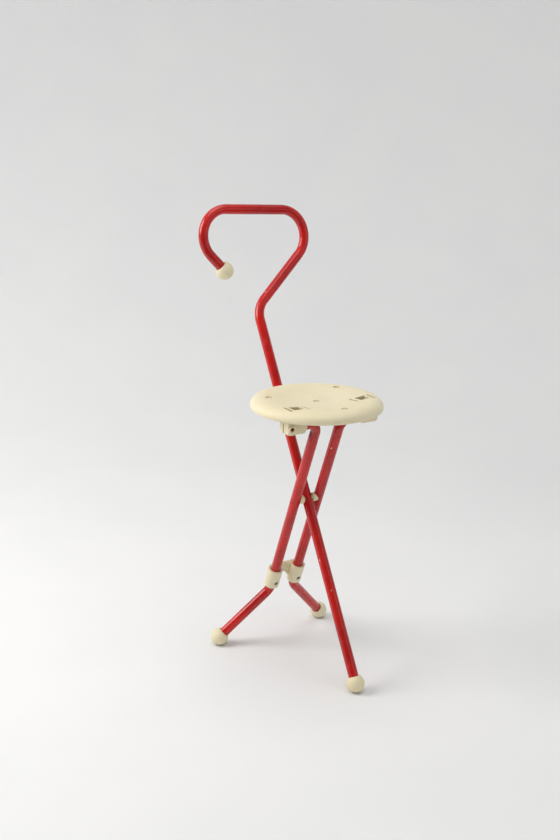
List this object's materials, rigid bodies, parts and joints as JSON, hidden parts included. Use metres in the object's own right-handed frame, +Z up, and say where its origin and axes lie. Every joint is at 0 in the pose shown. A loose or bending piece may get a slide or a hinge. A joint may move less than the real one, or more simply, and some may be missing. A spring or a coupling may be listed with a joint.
{
  "type": "folding seat cane",
  "caption": "Folding seat cane: a bent tube walking stick with a crook handle, crossed by a splayed leg frame that carries a round dished seat.",
  "frame": {"origin": "middle of the footprint of the opened cane, on the floor", "axes": "+Z up, +X towards the single foot of the cane tube, +Y towards the left leg, which is the left of a person who sits facing +X"},
  "size_m": [0.3892, 0.257, 0.8056],
  "materials": {
    "red_tube": "gloss red paint, worn and chipped in places",
    "cream_ball": "satin moulded, scuffed where it stands",
    "cream_moulding": "satin moulded",
    "cream_seat": "satin moulded, fine speckle and scuffs",
    "steel": "dull"
  },
  "bodies": {
    "cane": {"cane_tube": "red_tube", "cane_foot": "cream_ball", "handle_ball": "cream_ball"},
    "leg_frame": {"left_leg_tube": "red_tube", "right_leg_tube": "red_tube", "left_foot": "cream_ball", "right_foot": "cream_ball", "leg_collar": "cream_moulding", "left_collar_screw": "steel", "right_collar_screw": "steel", "pivot_pin": "steel", "left_pivot_bush": "cream_moulding", "right_pivot_bush": "cream_moulding"},
    "seat": {"seat": "cream_seat", "left_hinge_block": "cream_moulding", "right_hinge_block": "cream_moulding", "shaft_clip": "cream_moulding", "left_clip_screw": "steel", "right_clip_screw": "steel"}
  },
  "joints": [
    {"name": "leg_fold", "type": "hinge", "parent": "cane", "child": "leg_frame", "pos_m": [0.01742, 0, 0.30597], "axis": [0, -1, 0], "range_deg": [0, 50.5]},
    {"name": "seat_fold", "type": "hinge", "parent": "leg_frame", "child": "seat", "pos_m": [0.08045, 0, 0.46558], "axis": [0, 1, 0], "range_deg": [0, 111.5]}
  ],
  "couplings": [
    {"joint": "seat_fold", "follows": "leg_fold", "ratio": 2.2079}
  ]
}
